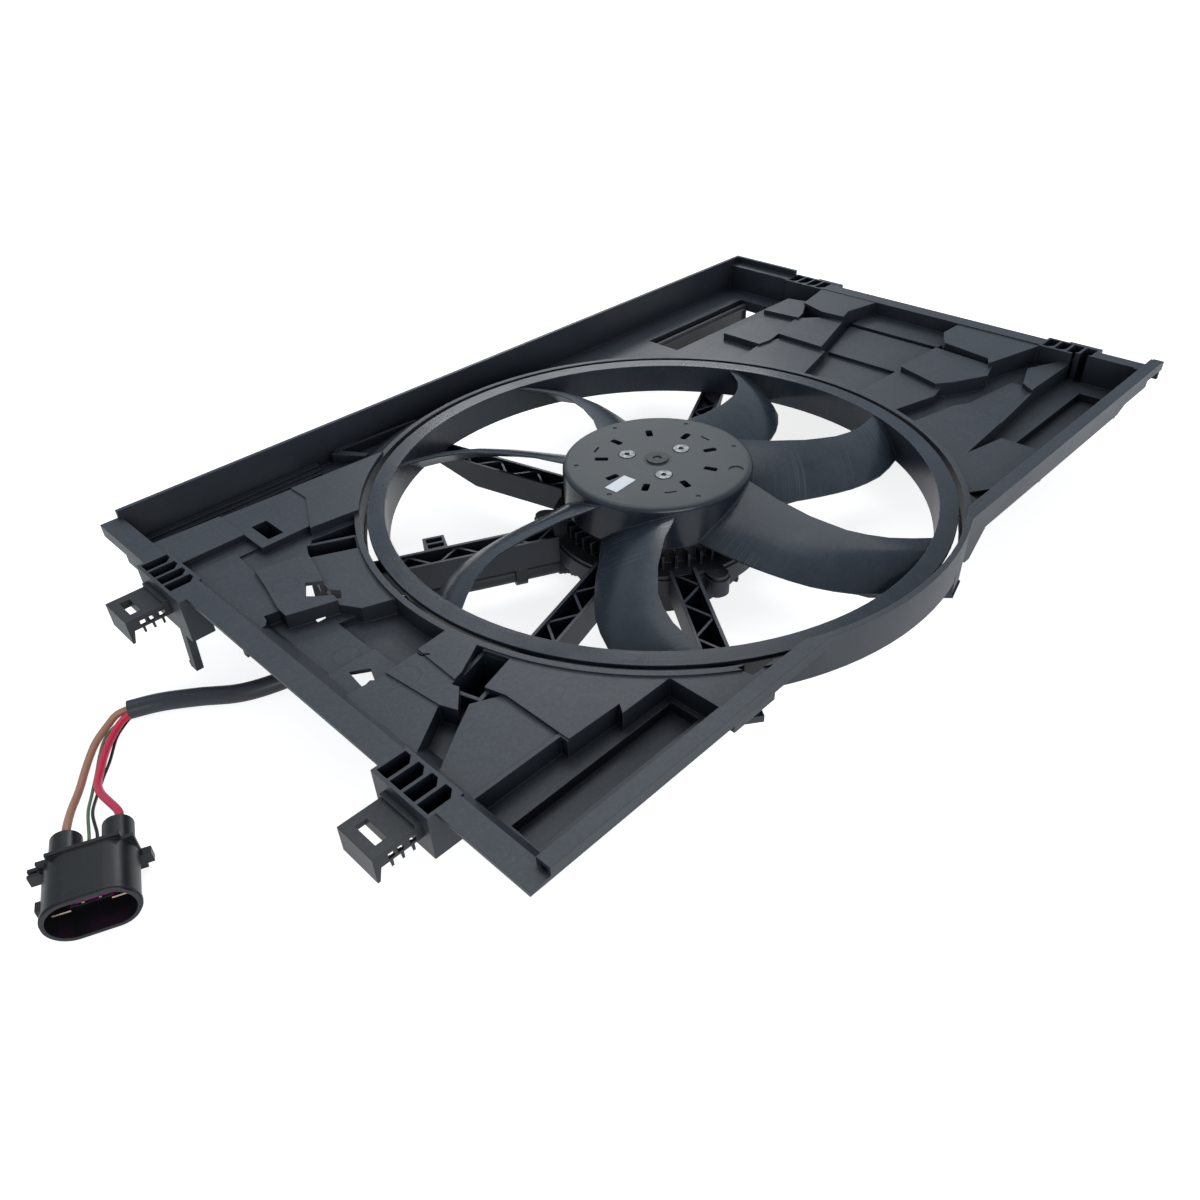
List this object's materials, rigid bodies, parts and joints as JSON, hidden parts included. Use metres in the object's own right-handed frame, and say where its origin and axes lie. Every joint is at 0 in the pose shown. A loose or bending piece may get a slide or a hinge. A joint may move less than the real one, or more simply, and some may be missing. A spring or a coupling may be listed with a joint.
{
  "type": "radiator cooling fan",
  "caption": "Engine radiator cooling fan with a ribbed shroud plate, a swept ring fan, an external rotor motor, ram-air flaps and a wired connector.",
  "frame": {"origin": "on the floor under the middle of the box of the part without its loose lead; the part lies on its motor's rear cover", "axes": "+Z along the fan axis towards the radiator, +X along the plate's long side away from the lead's side, +Y towards the flap channel"},
  "size_m": [0.8607, 0.441, 0.0911],
  "materials": {
    "shroud_plastic": "fine moulded grain, dull",
    "clip_plastic": "moulded, dull",
    "fan_plastic": "moulded, satin on the blades",
    "cover_plastic": "moulded, dull",
    "connector_plastic": "moulded, satin",
    "insert_plastic": "moulded magenta",
    "screw_steel": "zinc plated",
    "bell_steel": "dark coated steel",
    "bearing_steel": "ground",
    "magnet": "sintered, dark",
    "motor_aluminium": "die cast, dark coated",
    "stator_iron": "stacked laminations",
    "copper": "enamelled copper wire",
    "board": "solder resist",
    "label_paper": "blank white label",
    "rubber": "moulded rubber",
    "sleeve_fabric": "soft sleeve, satin",
    "wire_brown": "insulation",
    "wire_red": "insulation",
    "wire_green": "insulation",
    "wire_black": "insulation",
    "terminal_metal": "tin plated"
  },
  "bodies": {
    "shroud_and_motor": {"shroud": "shroud_plastic", "retaining_clip_a": "clip_plastic", "retaining_clip_b": "clip_plastic", "retaining_clip_c": "clip_plastic", "retaining_clip_d": "clip_plastic", "motor_base": "motor_aluminium", "front_bearing": "bearing_steel", "rear_bearing": "bearing_steel", "stator_core": "stator_iron", "stator_windings": "copper", "circuit_board": "board", "electronics_cover": "cover_plastic", "motor_screws": "screw_steel", "cable_gland": "rubber", "cable_clips": "clip_plastic", "cable_sleeve": "sleeve_fabric", "wire_brown": "wire_brown", "wire_red": "wire_red", "wire_green": "wire_green", "wire_black": "wire_black", "wire_seals": "rubber", "connector_housing": "connector_plastic", "connector_insert": "insert_plastic", "power_terminals": "terminal_metal", "signal_terminals": "terminal_metal"},
    "rotor": {"fan_wheel": "fan_plastic", "fan_screws": "screw_steel", "hub_label": "label_paper", "rotor_bell": "bell_steel", "rotor_magnets": "magnet", "motor_shaft": "screw_steel"},
    "left_flap": {"flap_left": "shroud_plastic"},
    "right_flap": {"flap_right": "shroud_plastic"}
  },
  "joints": [
    {"name": "fan_spin", "type": "hinge", "parent": "shroud_and_motor", "child": "rotor", "pos_m": [-0.046, -0.0125, 0.08], "axis": [0, 0, 1], "continuous": true},
    {"name": "left_flap_hinge", "type": "hinge", "parent": "shroud_and_motor", "child": "left_flap", "pos_m": [-0.249, 0.2025, 0.05], "axis": [1, 0, 0], "range_deg": [-82, 0]},
    {"name": "right_flap_hinge", "type": "hinge", "parent": "shroud_and_motor", "child": "right_flap", "pos_m": [0.236, 0.1825, 0.05], "axis": [1, 0, 0], "range_deg": [-82, 0]}
  ]
}
